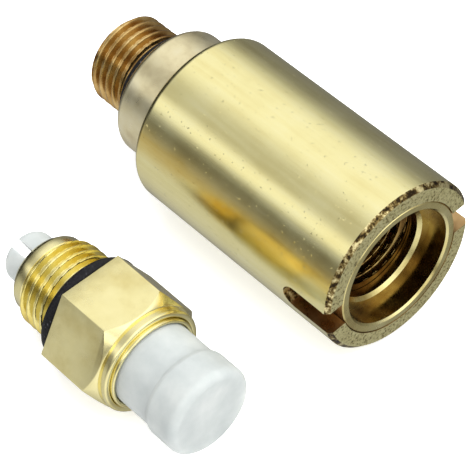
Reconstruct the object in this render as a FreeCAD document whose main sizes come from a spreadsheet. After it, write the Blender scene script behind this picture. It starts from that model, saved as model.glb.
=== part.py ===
# Residual pressure relief valve for a pneumatic strut, with its line fitting lying unscrewed beside it.
# Frame: origin at the centre of the strut seat face, +X towards the open port, +Z up, millimetres.
import FreeCAD, Part
import math
import os
import re
import Sketcher

os.makedirs("parts", exist_ok=True)
doc = FreeCAD.newDocument("ReliefValve")

# Sides of a round section where small parts would take too many facets
WIRE_SIDES = 8
RING_SIDES = 12

# Driving dimensions: alias, value in millimetres (or a count), what it is
SIZES = [
    ("fit_gap", 0.05, "radial clearance of pieces that are assembled into each other"),
    ("seat_gap", 0.05, "axial clearance of a moving face from the face that it rests on"),
    ("spigot_length", 7.0, "male strut thread, tip to seat face"),
    ("thread_radius", 5.0, "M10x1 thread, crest radius"),
    ("thread_core", 4.46, "M10x1 internal thread, minor radius"),
    ("spigot_bore", 1.75, "air passage through the spigot, radius"),
    ("tip_chamfer", 0.6, "chamfer at a thread's tip"),
    ("strut_undercut", 4.2, "undercut behind the strut thread, radius"),
    ("strut_relief", 1.6, "that undercut, along the axis"),
    ("strut_ring_cord", 1.1, "section of the O-ring in that undercut"),
    ("strut_ring_at", 0.95, "seat face to the middle of that O-ring"),
    ("neck_step", 0.3, "neck below the barrel's bore"),
    ("neck_length", 5.5, "neck, seat face to barrel"),
    ("neck_round", 0.9, "rounding of the neck's outer edge"),
    ("barrel_radius", 9.5, "outside of the barrel"),
    ("barrel_length", 28.5, "barrel, rear edge to open face"),
    ("barrel_wall", 2.0, "wall of the barrel"),
    ("rear_round", 1.0, "rounding of the barrel's rear edge"),
    ("front_chamfer", 0.45, "chamfer of the barrel's open edge"),
    ("slot_width", 3.0, "spanner slot in the barrel's open end"),
    ("slot_depth", 6.2, "spanner slot, axial length"),
    ("slot_turn", 4.5, "turn of the slots about the valve's axis, degrees"),
    ("tail_length", 7.5, "connector's tail inside the barrel"),
    ("ring_groove", 1.0, "depth of the static O-ring grooves"),
    ("ring_groove_width", 1.4, "width of the static O-ring grooves"),
    ("tail_groove_at", 1.0, "neck to the tail's O-ring groove"),
    ("chamber_wall", 1.55, "wall round the bore that guides the piston"),
    ("chamber_floor", 8.6, "seat face to the floor of the chamber"),
    ("seat_height", 0.8, "relief seat above the chamber's floor"),
    ("seat_outer", 3.9, "relief seat, outer radius"),
    ("well_radius", 3.1, "well in front of the relief seat, radius"),
    ("well_depth", 3.2, "well, from the seat's crown"),
    ("seal_thickness", 1.0, "piston's face seal"),
    ("seal_inset", 0.6, "face seal inside the piston's edge"),
    ("nose_radius", 1.9, "piston's nose inside the face seal"),
    ("piston_hole", 1.2, "hole for the check valve's stem, radius"),
    ("piston_gap", 0.7, "air gap round the piston"),
    ("piston_head", 1.6, "thickness of the piston's head"),
    ("piston_wall", 0.7, "wall of the piston's skirt"),
    ("skirt_length", 5.5, "piston's skirt"),
    ("window_radius", 0.8, "cross windows of the skirt"),
    ("window_count", 6, "number of cross windows"),
    ("guide_width", 1.2, "guide ring on the piston's skirt"),
    ("guide_inset", 1.0, "skirt's end to the guide ring"),
    ("guide_groove", 0.3, "depth of the guide ring's groove"),
    ("relief_wire", 0.9, "relief spring's wire diameter"),
    ("relief_gap", 0.2, "relief spring inside the piston's skirt"),
    ("relief_turns", 5.5, "relief spring's turns"),
    ("seat_plate", 1.0, "thickness of the spring's end plate"),
    ("plate_hole", 0.9, "air holes of the spring's end plate, radius"),
    ("plate_hole_circle", 3.3, "circle of the air holes, radius"),
    ("plate_hole_count", 6, "number of air holes"),
    ("inlet_bore", 2.4, "passage between port and spring room, radius"),
    ("inlet_length", 1.5, "length of that passage"),
    ("port_depth", 6.7, "length of the port's thread"),
    ("collar_length", 3.8, "mouth collar inside the barrel's open end"),
    ("collar_wall", 0.95, "wall of the collar round the counterbore"),
    ("mouth_depth", 2.5, "depth of the counterbore"),
    ("collar_bore", 5.2, "collar's bore behind the counterbore, radius"),
    ("insert_groove_at", 2.0, "collar to the insert's O-ring groove"),
    ("poppet_radius", 2.2, "check valve's head"),
    ("poppet_head", 0.9, "thickness of the check valve's head"),
    ("stem_radius", 0.7, "check valve's stem"),
    ("stem_length", 3.9, "stem beyond the piston's head"),
    ("washer_thickness", 0.6, "check valve's rubber washer"),
    ("washer_radius", 1.8, "check valve's rubber washer, outer radius"),
    ("clip_radius", 2.0, "clip on the stem, outer radius"),
    ("clip_thickness", 0.5, "clip on the stem"),
    ("clip_inset", 0.3, "stem's end to the clip"),
    ("check_wire", 0.3, "check spring's wire diameter"),
    ("check_turns", 5.5, "check spring's turns"),
    ("check_radius", 1.5, "check spring's mean radius"),
    ("fitting_back", 18.5, "barrel's open face back to the fitting's hexagon"),
    ("fitting_aside", 22.9, "valve's axis to the fitting's axis"),
    ("hex_width", 12.0, "hexagon across its flats"),
    ("hex_length", 7.3, "length of the hexagon"),
    ("hex_bevel", 1.1, "axial height of the hexagon's bevel"),
    ("shank_length", 6.2, "fitting's thread, hexagon to tip"),
    ("undercut_radius", 4.3, "undercut that holds the fitting's O-ring"),
    ("fitting_ring_cord", 1.5, "section of the fitting's O-ring"),
    ("tube_radius", 3.05, "fitting's bore for the air line"),
    ("gland_radius", 4.1, "pocket for the line seal, radius"),
    ("gland_depth", 2.0, "pocket for the line seal"),
    ("clamp_radius", 4.4, "clamping ring at the thread's tip"),
    ("clamp_length", 1.8, "length of the clamping ring"),
    ("clamp_chamfer", 0.5, "taper of the clamping ring's end"),
    ("clamp_slit", 0.7, "slit of the clamping ring"),
    ("clamp_turn", -60, "turn of that slit about the fitting's axis, from straight down, degrees"),
    ("rim_radius", 5.8, "round rim on the hexagon's line side"),
    ("rim_length", 1.0, "length of the rim"),
    ("socket_radius", 5.15, "socket for the guide sleeve, radius"),
    ("socket_depth", 2.2, "socket from the rim's face"),
    ("sleeve_bore", 4.72, "guide sleeve's inner radius"),
    ("sleeve_proud", 0.35, "guide sleeve beyond the rim"),
    ("sleeve_wall_end", 0.5, "guide sleeve's inner flange"),
    ("plug_radius", 4.62, "plug's stem outside the fitting"),
    ("plug_stem", 4.8, "length of that stem beyond the rim"),
    ("plug_head_radius", 4.9, "plug's head"),
    ("plug_head", 3.8, "length of the plug's head"),
    ("plug_round", 0.9, "rounding of the head's end"),
    ("plug_core", 2.85, "plug's core inside the bore, radius"),
    ("prong_reach", 3.4, "prongs beyond the clamping ring"),
    ("prong_gap", 1.5, "gap between the prongs"),
    ("prong_split", 9.0, "depth of that gap from the prongs' tips"),
    ("prong_round", 1.2, "rounding of the prongs' tips"),
    ("plug_turn", 28, "turn of the prongs about the fitting's axis, degrees"),
]

sheet = doc.addObject("Spreadsheet::Sheet", "Sizes")
for row, (alias, value, meaning) in enumerate(SIZES, start=1):
    sheet.set("A%d" % row, alias)
    sheet.set("B%d" % row, str(value))
    sheet.set("C%d" % row, meaning)
    sheet.setAlias("B%d" % row, alias)
doc.recompute()

# Places along the valve's axis, as expressions of the sizes
OPEN_FACE = "(neck_length + barrel_length)"
BARREL_BORE = "(barrel_radius - barrel_wall)"
NECK_RADIUS = "(%s - neck_step)" % BARREL_BORE
TAIL_END = "(neck_length + tail_length)"
TAIL_RADIUS = "(%s - fit_gap)" % BARREL_BORE
GROOVE_FLOOR = "(%s - ring_groove)" % BARREL_BORE
GROOVE_TOP = "(%s + fit_gap)" % BARREL_BORE
CHAMBER_RADIUS = "(%s - chamber_wall)" % TAIL_RADIUS
MOUTH_RADIUS = "(%s - collar_wall)" % TAIL_RADIUS
PISTON_RADIUS = "(%s - piston_gap)" % CHAMBER_RADIUS
SKIRT_BORE = "(%s - piston_wall)" % PISTON_RADIUS
SPRING_RADIUS = "(%s - relief_gap - relief_wire / 2)" % SKIRT_BORE
TAIL_GROOVE = "(neck_length + tail_groove_at)"
SEAT_CROWN = "(chamber_floor + seat_height)"
NOSE_END = "(%s + seat_gap)" % SEAT_CROWN
PISTON_FRONT = "(%s + seal_thickness)" % NOSE_END
PISTON_INNER = "(%s + piston_head)" % PISTON_FRONT
SKIRT_END = "(%s + skirt_length)" % PISTON_INNER
GUIDE_START = "(%s - guide_inset - guide_width)" % SKIRT_END
GUIDE_FLOOR = "(%s - guide_groove)" % PISTON_RADIUS
COLLAR_START = "(%s - collar_length)" % OPEN_FACE
PORT_BOTTOM = "(%s - port_depth)" % COLLAR_START
PLATE_BACK = "(%s - inlet_length - seat_gap)" % PORT_BOTTOM
PLATE_FACE = "(%s - seat_plate)" % PLATE_BACK
MOUTH_FLOOR = "(%s - mouth_depth)" % OPEN_FACE
INSERT_GROOVE = "(%s - insert_groove_at - ring_groove_width)" % COLLAR_START
STEM_END = "(%s + stem_length)" % PISTON_INNER
CLIP_BACK = "(%s - clip_inset)" % STEM_END
CLIP_FACE = "(%s - clip_thickness)" % CLIP_BACK
WASHER_BACK = "(%s - seat_gap)" % NOSE_END
WASHER_FACE = "(%s - washer_thickness)" % WASHER_BACK
POPPET_FACE = "(%s - poppet_head)" % WASHER_FACE

# Places of the fitting, measured from its hexagon's thread side along the same axis
FITTING_X = "(%s - fitting_back)" % OPEN_FACE
FITTING_Y = "(0 - fitting_aside)"
FITTING_Z = "(hex_width / 2 - barrel_radius)"
RIM_FACE = "(hex_length + rim_length)"
SOCKET_FLOOR = "(%s - socket_depth)" % RIM_FACE
SLEEVE_END = "(%s + sleeve_proud)" % RIM_FACE
SHANK_TIP = "(0 - shank_length)"
CLAMP_TIP = "(%s - seat_gap - clamp_length)" % SHANK_TIP
PLUG_SHOULDER = "(%s + sleeve_wall_end + seat_gap)" % SOCKET_FLOOR
PLUG_NECK = "(%s + plug_stem)" % RIM_FACE
PLUG_END = "(%s + plug_head)" % PLUG_NECK
PRONG_TIP = "(%s - prong_reach)" % CLAMP_TIP


def bound(expression):
    """The expression with each size's name pointing at the sheet."""
    return re.sub(r"\b([a-z]\w*)", r"Sizes.\1", expression)


def number(expression):
    """The expression's present value."""
    found = sheet.evalExpression(re.sub(r"\b([a-z]\w*)", r".\1", expression))
    return float(getattr(found, "Value", found))


def plane(body, role):
    """One of a body's own origin planes."""
    return [item for item in body.Origin.OriginFeatures if item.Role == role][0]


def new_body(name, fitting=False):
    """An empty body, on the valve's axis or on the fitting's."""
    body = doc.addObject("PartDesign::Body", name)
    body.Label = name
    if fitting:
        place_on_fitting(body)
    return body


def place_on_fitting(piece, along="0"):
    """Puts a piece on the fitting's axis."""
    piece.setExpression("Placement.Base.x", bound("%s + %s" % (FITTING_X, along)))
    piece.setExpression("Placement.Base.y", bound(FITTING_Y))
    piece.setExpression("Placement.Base.z", bound(FITTING_Z))


def turn(body, angle):
    """Turns a body about its own X axis by a bound angle in degrees."""
    turned = FreeCAD.Rotation(FreeCAD.Vector(1, 0, 0), number(angle))
    body.Placement = FreeCAD.Placement(body.Placement.Base, turned)
    body.setExpression("Placement.Rotation.Angle", bound(angle))


def profile(body, name, points):
    """A closed outline of (distance along X, radius) points, each held by two bound sizes."""
    sketch = body.newObject("Sketcher::SketchObject", name)
    sketch.AttachmentSupport = [(plane(body, "XZ_Plane"), "")]
    sketch.MapMode = "FlatFace"
    places = [FreeCAD.Vector(number(along), number(radius), 0) for along, radius in points]
    count = len(points)
    for index in range(count):
        sketch.addGeometry(Part.LineSegment(places[index], places[(index + 1) % count]), False)
    for index in range(count):
        sketch.addConstraint(Sketcher.Constraint("Coincident", index, 2, (index + 1) % count, 1))
    for index, (along, radius) in enumerate(points):
        for kind, expression, value in (("DistanceX", along, places[index].x),
                                        ("DistanceY", radius, places[index].y)):
            held = sketch.addConstraint(Sketcher.Constraint(kind, -1, 1, index, 1, value))
            sketch.setExpression("Constraints[%d]" % held, bound(expression))
    return sketch


def revolve(body, name, points, kind="PartDesign::Revolution"):
    """Turns an outline about the body's X axis, as material or as a groove."""
    sketch = profile(body, name + "_outline", points)
    feature = body.newObject(kind, name)
    feature.Profile = sketch
    feature.ReferenceAxis = (sketch, ["H_Axis"])
    feature.Angle = 360.0
    doc.recompute()
    return feature


def edges_at(feature, along, radius):
    """Names of a feature's round edges at one place and radius."""
    names = []
    for index, edge in enumerate(feature.Shape.Edges, start=1):
        if not isinstance(edge.Curve, Part.Circle):
            continue
        here = abs(edge.Curve.Center.x - number(along)) < 1e-4
        if here and abs(edge.Curve.Radius - number(radius)) < 1e-4:
            names.append("Edge%d" % index)
    return names


def dress(body, kind, name, along, radius, size):
    """Fillets or chamfers the round edge at one place and radius."""
    base = body.Tip
    feature = body.newObject(kind, name)
    feature.Base = (base, edges_at(base, along, radius))
    feature.setExpression("Radius" if kind.endswith("Fillet") else "Size", bound(size))
    doc.recompute()
    return feature


def flat_sketch(body, name, role, offset="0"):
    """An empty sketch on an origin plane, moved along the plane's normal."""
    sketch = body.newObject("Sketcher::SketchObject", name)
    sketch.AttachmentSupport = [(plane(body, role), "")]
    sketch.MapMode = "FlatFace"
    if offset != "0":
        sketch.setExpression("AttachmentOffset.Base.z", bound(offset))
    return sketch


def hold(sketch, kind, places, expression):
    """One bound size of a sketch."""
    held = sketch.addConstraint(Sketcher.Constraint(kind, *places, number(expression)))
    sketch.setExpression("Constraints[%d]" % held, bound(expression))


def hole_sketch(sketch, along, across, radius):
    """A circle held by its centre and radius."""
    centre = FreeCAD.Vector(number(along), number(across), 0)
    sketch.addGeometry(Part.Circle(centre, FreeCAD.Vector(0, 0, 1), number(radius)), False)
    hold(sketch, "DistanceX", (-1, 1, 0, 3), along)
    hold(sketch, "DistanceY", (-1, 1, 0, 3), across)
    hold(sketch, "Radius", (0,), radius)


def box_sketch(sketch, low_x, high_x, low_y, high_y):
    """A rectangle held by its four sides."""
    corners = [(low_x, low_y), (high_x, low_y), (high_x, high_y), (low_x, high_y)]
    places = [FreeCAD.Vector(number(x), number(y), 0) for x, y in corners]
    for index in range(4):
        sketch.addGeometry(Part.LineSegment(places[index], places[(index + 1) % 4]), False)
    for index in range(4):
        sketch.addConstraint(Sketcher.Constraint("Coincident", index, 2, (index + 1) % 4, 1))
    for index, (x, y) in enumerate(corners):
        hold(sketch, "DistanceX", (-1, 1, index, 1), x)
        hold(sketch, "DistanceY", (-1, 1, index, 1), y)


def cut_through(body, name, sketch):
    """A pocket through all, to both sides of its sketch, that must remove material."""
    before = body.Shape.Volume
    pocket = body.newObject("PartDesign::Pocket", name)
    pocket.Profile = sketch
    pocket.Type = "ThroughAll"
    pocket.Midplane = True
    doc.recompute()
    if body.Shape.Volume > before - 1e-3:
        raise RuntimeError(name + " removes nothing")
    return pocket


def around(body, name, feature, count):
    """Repeats a feature about the body's X axis."""
    pattern = body.newObject("PartDesign::PolarPattern", name)
    pattern.Originals = [feature]
    pattern.Axis = (plane(body, "X_Axis"), [""])
    pattern.Angle = 360.0
    pattern.setExpression("Occurrences", bound(count))
    body.Tip = pattern
    doc.recompute()
    return pattern


def o_ring(name, along, inner, outer, fitting=False):
    """A seal between two radii, less the assembly clearance; its round section has RING_SIDES sides."""
    body = new_body(name, fitting)
    middle = "(%s + %s) / 2" % (inner, outer)
    cord_radius = "((%s - %s) / 2 - fit_gap)" % (outer, inner)
    corners = []
    for step in range(RING_SIDES):
        angle = 2 * math.pi * (step + 0.5) / RING_SIDES
        corners.append(("%s + %s * %.6f" % (along, cord_radius, math.cos(angle)),
                        "%s + %s * %.6f" % (middle, cord_radius, math.sin(angle))))
    revolve(body, name + "_turning", corners)
    return body


def spring(name, start, end, mean_radius, wire, turns):
    """An open coil along X whose wire lies between two faces, just clear of both."""
    wire_radius = number(wire) / 2
    first = number(start) + number("seat_gap") + wire_radius
    length = number(end) - number("seat_gap") - wire_radius - first
    pitch = length / number(turns)
    radius = number(mean_radius)
    path = Part.Wire(Part.makeHelix(pitch, length, radius))
    lean = math.atan2(pitch, 2 * math.pi * radius)
    outward = FreeCAD.Vector(1, 0, 0)
    across = FreeCAD.Vector(0, math.cos(lean), math.sin(lean)).cross(outward)
    corners = []
    for step in range(WIRE_SIDES + 1):
        angle = 2 * math.pi * (step + 0.5) / WIRE_SIDES
        corner = outward * wire_radius * math.cos(angle) + across * wire_radius * math.sin(angle)
        corners.append(outward * radius + corner)
    section = Part.makePolygon(corners)
    coil = doc.addObject("Part::Feature", name)
    coil.Label = name
    coil.Shape = path.makePipeShell([section], True, True)
    turned = FreeCAD.Rotation(FreeCAD.Vector(0, 1, 0), 90)
    coil.Placement = FreeCAD.Placement(FreeCAD.Vector(first, 0, 0), turned)
    return coil


def strut_connector():
    """Spigot, neck and threaded tail, with the relief seat on the tail's floor."""
    body = new_body("strut_connector")
    tip = "(0 - spigot_length)"
    revolve(body, "connector_turning", [
        (tip, "spigot_bore"),
        (tip, "thread_radius - tip_chamfer"),
        (tip + " + tip_chamfer", "thread_radius"),
        ("0 - strut_relief", "thread_radius"),
        ("0 - strut_relief", "strut_undercut"),
        ("0", "strut_undercut"),
        ("0", NECK_RADIUS),
        ("neck_length", NECK_RADIUS),
        ("neck_length", TAIL_RADIUS),
        (TAIL_END, TAIL_RADIUS),
        (TAIL_END, CHAMBER_RADIUS),
        ("chamber_floor", CHAMBER_RADIUS),
        ("chamber_floor", "seat_outer"),
        (SEAT_CROWN, "seat_outer"),
        (SEAT_CROWN, "well_radius"),
        (SEAT_CROWN + " - well_depth", "well_radius"),
        (SEAT_CROWN + " - well_depth - (well_radius - spigot_bore)", "spigot_bore"),
    ])
    revolve(body, "tail_groove", [
        (TAIL_GROOVE, GROOVE_FLOOR),
        (TAIL_GROOVE, GROOVE_TOP),
        (TAIL_GROOVE + " + ring_groove_width", GROOVE_TOP),
        (TAIL_GROOVE + " + ring_groove_width", GROOVE_FLOOR),
    ], "PartDesign::Groove")
    dress(body, "PartDesign::Fillet", "neck_rounding", "0", NECK_RADIUS, "neck_round")
    return body


def barrel():
    """Outer housing, bored through, with two open-ended spanner slots at the port."""
    body = new_body("barrel")
    revolve(body, "barrel_turning", [
        ("neck_length", BARREL_BORE),
        ("neck_length", "barrel_radius"),
        (OPEN_FACE, "barrel_radius"),
        (OPEN_FACE, BARREL_BORE),
    ])
    dress(body, "PartDesign::Fillet", "rear_rounding", "neck_length", "barrel_radius", "rear_round")
    dress(body, "PartDesign::Chamfer", "front_bevel", OPEN_FACE, "barrel_radius", "front_chamfer")
    sketch = flat_sketch(body, "slot_outline", "XZ_Plane")
    root = "%s - slot_depth + slot_width / 2" % OPEN_FACE
    box_sketch(sketch, root, OPEN_FACE + " + slot_width", "0 - slot_width / 2", "slot_width / 2")
    cut_through(body, "slots", sketch)
    ends = flat_sketch(body, "slot_end_outline", "XZ_Plane")
    hole_sketch(ends, root, "0", "slot_width / 2")
    cut_through(body, "slot_ends", ends)
    turn(body, "slot_turn")
    return body


def port_insert():
    """Inner sleeve: spring room, passage and the port's thread, drawn at its minor radius."""
    body = new_body("port_insert")
    start = TAIL_END + " + seat_gap"
    revolve(body, "insert_turning", [
        (start, CHAMBER_RADIUS),
        (start, TAIL_RADIUS),
        (COLLAR_START + " - seat_gap", TAIL_RADIUS),
        (COLLAR_START + " - seat_gap", "thread_core"),
        (PORT_BOTTOM, "thread_core"),
        (PORT_BOTTOM, "inlet_bore"),
        (PLATE_BACK + " + seat_gap", "inlet_bore"),
        (PLATE_BACK + " + seat_gap", CHAMBER_RADIUS),
    ])
    revolve(body, "insert_groove", [
        (INSERT_GROOVE, GROOVE_FLOOR),
        (INSERT_GROOVE, GROOVE_TOP),
        (INSERT_GROOVE + " + ring_groove_width", GROOVE_TOP),
        (INSERT_GROOVE + " + ring_groove_width", GROOVE_FLOOR),
    ], "PartDesign::Groove")
    return body


def port_collar():
    """Ring in the open end that carries the counterbore; its seam shows in the slots."""
    body = new_body("port_collar")
    revolve(body, "collar_turning", [
        (COLLAR_START, "collar_bore"),
        (COLLAR_START, TAIL_RADIUS),
        (OPEN_FACE, TAIL_RADIUS),
        (OPEN_FACE, MOUTH_RADIUS),
        (MOUTH_FLOOR, MOUTH_RADIUS),
        (MOUTH_FLOOR, "collar_bore"),
    ])
    return body


def relief_piston():
    """Cup piston: nose, head, skirt with cross windows and a groove for the guide ring."""
    body = new_body("relief_piston")
    revolve(body, "piston_turning", [
        (NOSE_END, "piston_hole"),
        (NOSE_END, "nose_radius"),
        (PISTON_FRONT, "nose_radius"),
        (PISTON_FRONT, PISTON_RADIUS),
        (GUIDE_START, PISTON_RADIUS),
        (GUIDE_START, GUIDE_FLOOR),
        (GUIDE_START + " + guide_width", GUIDE_FLOOR),
        (GUIDE_START + " + guide_width", PISTON_RADIUS),
        (SKIRT_END, PISTON_RADIUS),
        (SKIRT_END, SKIRT_BORE),
        (PISTON_INNER, SKIRT_BORE),
        (PISTON_INNER, "piston_hole"),
    ])
    sketch = flat_sketch(body, "window_outline", "XZ_Plane")
    hole_sketch(sketch, PISTON_INNER + " + window_radius * 1.5", "0", "window_radius")
    before = body.Shape.Volume
    window = body.newObject("PartDesign::Pocket", "window")
    window.Profile = sketch
    window.Type = "ThroughAll"
    doc.recompute()
    if body.Shape.Volume > before - 1e-3:
        raise RuntimeError("window removes nothing")
    around(body, "windows", window, "window_count")
    return body


def piston_seal():
    """Face seal round the piston's nose."""
    body = new_body("piston_seal")
    revolve(body, "seal_turning", [
        (NOSE_END, "nose_radius + fit_gap"),
        (NOSE_END, PISTON_RADIUS + " - seal_inset"),
        (PISTON_FRONT, PISTON_RADIUS + " - seal_inset"),
        (PISTON_FRONT, "nose_radius + fit_gap"),
    ])
    return body


def guide_ring():
    """Slide ring between piston and chamber."""
    body = new_body("guide_ring")
    revolve(body, "guide_turning", [
        (GUIDE_START + " + fit_gap", GUIDE_FLOOR + " + fit_gap"),
        (GUIDE_START + " + fit_gap", CHAMBER_RADIUS + " - fit_gap"),
        (GUIDE_START + " + guide_width - fit_gap", CHAMBER_RADIUS + " - fit_gap"),
        (GUIDE_START + " + guide_width - fit_gap", GUIDE_FLOOR + " + fit_gap"),
    ])
    return body


def spring_plate():
    """Perforated plate that the relief spring stands on, against the insert's shoulder."""
    body = new_body("spring_plate")
    rim = CHAMBER_RADIUS + " - fit_gap"
    hub = "plate_hole_circle - plate_hole * 1.5"
    revolve(body, "plate_turning", [
        (PLATE_FACE, "0"),
        (PLATE_FACE, rim),
        (PLATE_BACK, rim),
        (PLATE_BACK, hub),
        (PLATE_BACK + " + inlet_length / 2", hub),
        (PLATE_BACK + " + inlet_length / 2", "0"),
    ])
    sketch = flat_sketch(body, "plate_hole_outline", "YZ_Plane", PLATE_FACE)
    hole_sketch(sketch, "0", "plate_hole_circle", "plate_hole")
    hole = cut_through(body, "plate_hole", sketch)
    around(body, "plate_holes", hole, "plate_hole_count")
    return body


def check_poppet():
    """Check valve's head and stem, which runs through the piston's nose."""
    body = new_body("check_poppet")
    revolve(body, "poppet_turning", [
        (POPPET_FACE, "0"),
        (POPPET_FACE, "poppet_radius"),
        (WASHER_FACE, "poppet_radius"),
        (WASHER_FACE, "stem_radius"),
        (STEM_END, "stem_radius"),
        (STEM_END, "0"),
    ])
    return body


def ring_on_stem(name, start, end, outer):
    """A flat ring on the check valve's stem."""
    body = new_body(name)
    revolve(body, name + "_turning", [
        (start, "stem_radius + fit_gap"),
        (start, outer),
        (end, outer),
        (end, "stem_radius + fit_gap"),
    ])
    return body


def fitting_body():
    """Union screw: bevelled hexagon, threaded shank with undercut, and a round rim."""
    body = new_body("fitting_body", fitting=True)
    sketch = flat_sketch(body, "hexagon_outline", "YZ_Plane")
    reach = number("hex_width") / 2 / math.cos(math.radians(30))
    corners = []
    for index in range(6):
        angle = math.radians(60 * index)
        corners.append(FreeCAD.Vector(reach * math.cos(angle), reach * math.sin(angle), 0))
    for index in range(6):
        sketch.addGeometry(Part.LineSegment(corners[index], corners[(index + 1) % 6]), False)
    for index in range(6):
        sketch.addConstraint(Sketcher.Constraint("Coincident", index, 2, (index + 1) % 6, 1))
    for index in range(1, 6):
        sketch.addConstraint(Sketcher.Constraint("Equal", 0, index))
    circle = sketch.addGeometry(Part.Circle(FreeCAD.Vector(), FreeCAD.Vector(0, 0, 1), reach), True)
    sketch.addConstraint(Sketcher.Constraint("Coincident", circle, 3, -1, 1))
    for index in range(6):
        sketch.addConstraint(Sketcher.Constraint("PointOnObject", index, 1, circle))
    sketch.addConstraint(Sketcher.Constraint("PointOnObject", 0, 1, -1))
    held = sketch.addConstraint(Sketcher.Constraint("Radius", circle, reach))
    sketch.setExpression("Constraints[%d]" % held, bound("hex_width / 2") + " / cos(30)")
    pad = body.newObject("PartDesign::Pad", "hexagon")
    pad.Profile = sketch
    pad.setExpression("Length", bound("hex_length"))
    doc.recompute()
    before = body.Shape.Volume
    outside = "hex_width * 0.7"
    revolve(body, "hexagon_bevel", [
        ("hex_length", "rim_radius"),
        ("hex_length + 1", "rim_radius"),
        ("hex_length + 1", outside),
        ("hex_length - hex_bevel", outside),
        ("hex_length - hex_bevel", "hex_width * 0.577"),
    ], "PartDesign::Groove")
    if body.Shape.Volume > before - 1e-3:
        raise RuntimeError("bevel removes nothing")
    undercut = "(0 - fitting_ring_cord - 2 * fit_gap)"
    revolve(body, "shank_and_rim", [
        (SHANK_TIP, "0"),
        (SHANK_TIP, "thread_radius - tip_chamfer"),
        (SHANK_TIP + " + tip_chamfer", "thread_radius"),
        (undercut, "thread_radius"),
        (undercut, "undercut_radius"),
        ("0.01", "undercut_radius"),
        ("hex_length - 0.01", "rim_radius - 0.05"),
        ("hex_length - 0.01", "rim_radius"),
        (RIM_FACE, "rim_radius"),
        (RIM_FACE, "0"),
    ])
    revolve(body, "line_bore", [
        (SHANK_TIP + " - 1", "0"),
        (SHANK_TIP + " - 1", "gland_radius"),
        (SHANK_TIP + " + gland_depth", "gland_radius"),
        (SHANK_TIP + " + gland_depth", "tube_radius"),
        (SOCKET_FLOOR, "tube_radius"),
        (SOCKET_FLOOR, "socket_radius"),
        (RIM_FACE + " + 1", "socket_radius"),
        (RIM_FACE + " + 1", "0"),
    ], "PartDesign::Groove")
    return body


def clamping_ring():
    """Slit, tapered ring that grips the air line once the fitting is screwed home."""
    body = new_body("clamping_ring", fitting=True)
    bore = "tube_radius + fit_gap"
    revolve(body, "clamp_turning", [
        (CLAMP_TIP, bore),
        (CLAMP_TIP, "clamp_radius - clamp_chamfer"),
        (CLAMP_TIP + " + clamp_chamfer", "clamp_radius"),
        (SHANK_TIP + " - seat_gap", "clamp_radius"),
        (SHANK_TIP + " - seat_gap", bore),
    ])
    sketch = flat_sketch(body, "slit_outline", "XY_Plane")
    box_sketch(sketch, CLAMP_TIP + " - 1", SHANK_TIP + " + 1", "0 - clamp_slit / 2", "clamp_slit / 2")
    before = body.Shape.Volume
    slit = body.newObject("PartDesign::Pocket", "slit")
    slit.Profile = sketch
    slit.Type = "ThroughAll"
    doc.recompute()
    if body.Shape.Volume > before - 1e-3:
        raise RuntimeError("slit removes nothing")
    turn(body, "clamp_turn")
    return body


def line_seal():
    """Rubber ring in the shank's tip that seals on the air line."""
    body = new_body("line_seal", fitting=True)
    start = SHANK_TIP + " + seat_gap"
    end = SHANK_TIP + " + gland_depth - seat_gap"
    revolve(body, "line_seal_turning", [
        (start, "tube_radius + fit_gap"),
        (start, "gland_radius - fit_gap"),
        (end, "gland_radius - fit_gap"),
        (end, "tube_radius + fit_gap"),
    ])
    return body


def guide_sleeve():
    """Sleeve in the rim's socket that guides the air line; its rounded lip shows."""
    body = new_body("guide_sleeve", fitting=True)
    outer = "socket_radius - fit_gap"
    revolve(body, "sleeve_turning", [
        (SOCKET_FLOOR, "tube_radius"),
        (SOCKET_FLOOR, outer),
        (SLEEVE_END, outer),
        (SLEEVE_END, "sleeve_bore"),
        (SOCKET_FLOOR + " + sleeve_wall_end", "sleeve_bore"),
        (SOCKET_FLOOR + " + sleeve_wall_end", "tube_radius"),
    ])
    return body


def transport_plug():
    """Plastic plug: head, stem and a split core whose prongs carry the clamping ring."""
    body = new_body("transport_plug", fitting=True)
    revolve(body, "plug_turning", [
        (PRONG_TIP, "0"),
        (PRONG_TIP, "plug_core"),
        (PLUG_SHOULDER, "plug_core"),
        (PLUG_SHOULDER, "plug_radius"),
        (PLUG_NECK, "plug_radius"),
        (PLUG_NECK, "plug_head_radius"),
        (PLUG_END, "plug_head_radius"),
        (PLUG_END, "0"),
    ])
    dress(body, "PartDesign::Fillet", "head_rounding", PLUG_END, "plug_head_radius", "plug_round")
    dress(body, "PartDesign::Fillet", "prong_rounding", PRONG_TIP, "plug_core", "prong_round")
    sketch = flat_sketch(body, "split_outline", "XZ_Plane")
    box_sketch(sketch, PRONG_TIP + " - 1", PRONG_TIP + " + prong_split", "0 - prong_gap / 2", "prong_gap / 2")
    cut_through(body, "split", sketch)
    turn(body, "plug_turn")
    return body


strut_connector()
barrel()
port_insert()
port_collar()
relief_piston()
piston_seal()
guide_ring()
spring_plate()
check_poppet()
ring_on_stem("check_washer", WASHER_FACE, WASHER_BACK, "washer_radius")
ring_on_stem("check_clip", CLIP_FACE, CLIP_BACK, "clip_radius")
spring("relief_spring", PISTON_INNER, PLATE_FACE, SPRING_RADIUS, "relief_wire", "relief_turns")
spring("check_spring", PISTON_INNER, CLIP_FACE, "check_radius", "check_wire", "check_turns")
o_ring("strut_o_ring", "(0 - strut_ring_at)", "strut_undercut", "strut_undercut + strut_ring_cord")
o_ring("tail_o_ring", TAIL_GROOVE + " + ring_groove_width / 2", GROOVE_FLOOR, BARREL_BORE)
o_ring("insert_o_ring", INSERT_GROOVE + " + ring_groove_width / 2", GROOVE_FLOOR, BARREL_BORE)
fitting_body()
o_ring("fitting_o_ring", "(0 - fitting_ring_cord / 2 - fit_gap)", "undercut_radius",
       "undercut_radius + fitting_ring_cord", fitting=True)
clamping_ring()
line_seal()
guide_sleeve()
transport_plug()
doc.recompute()

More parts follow.
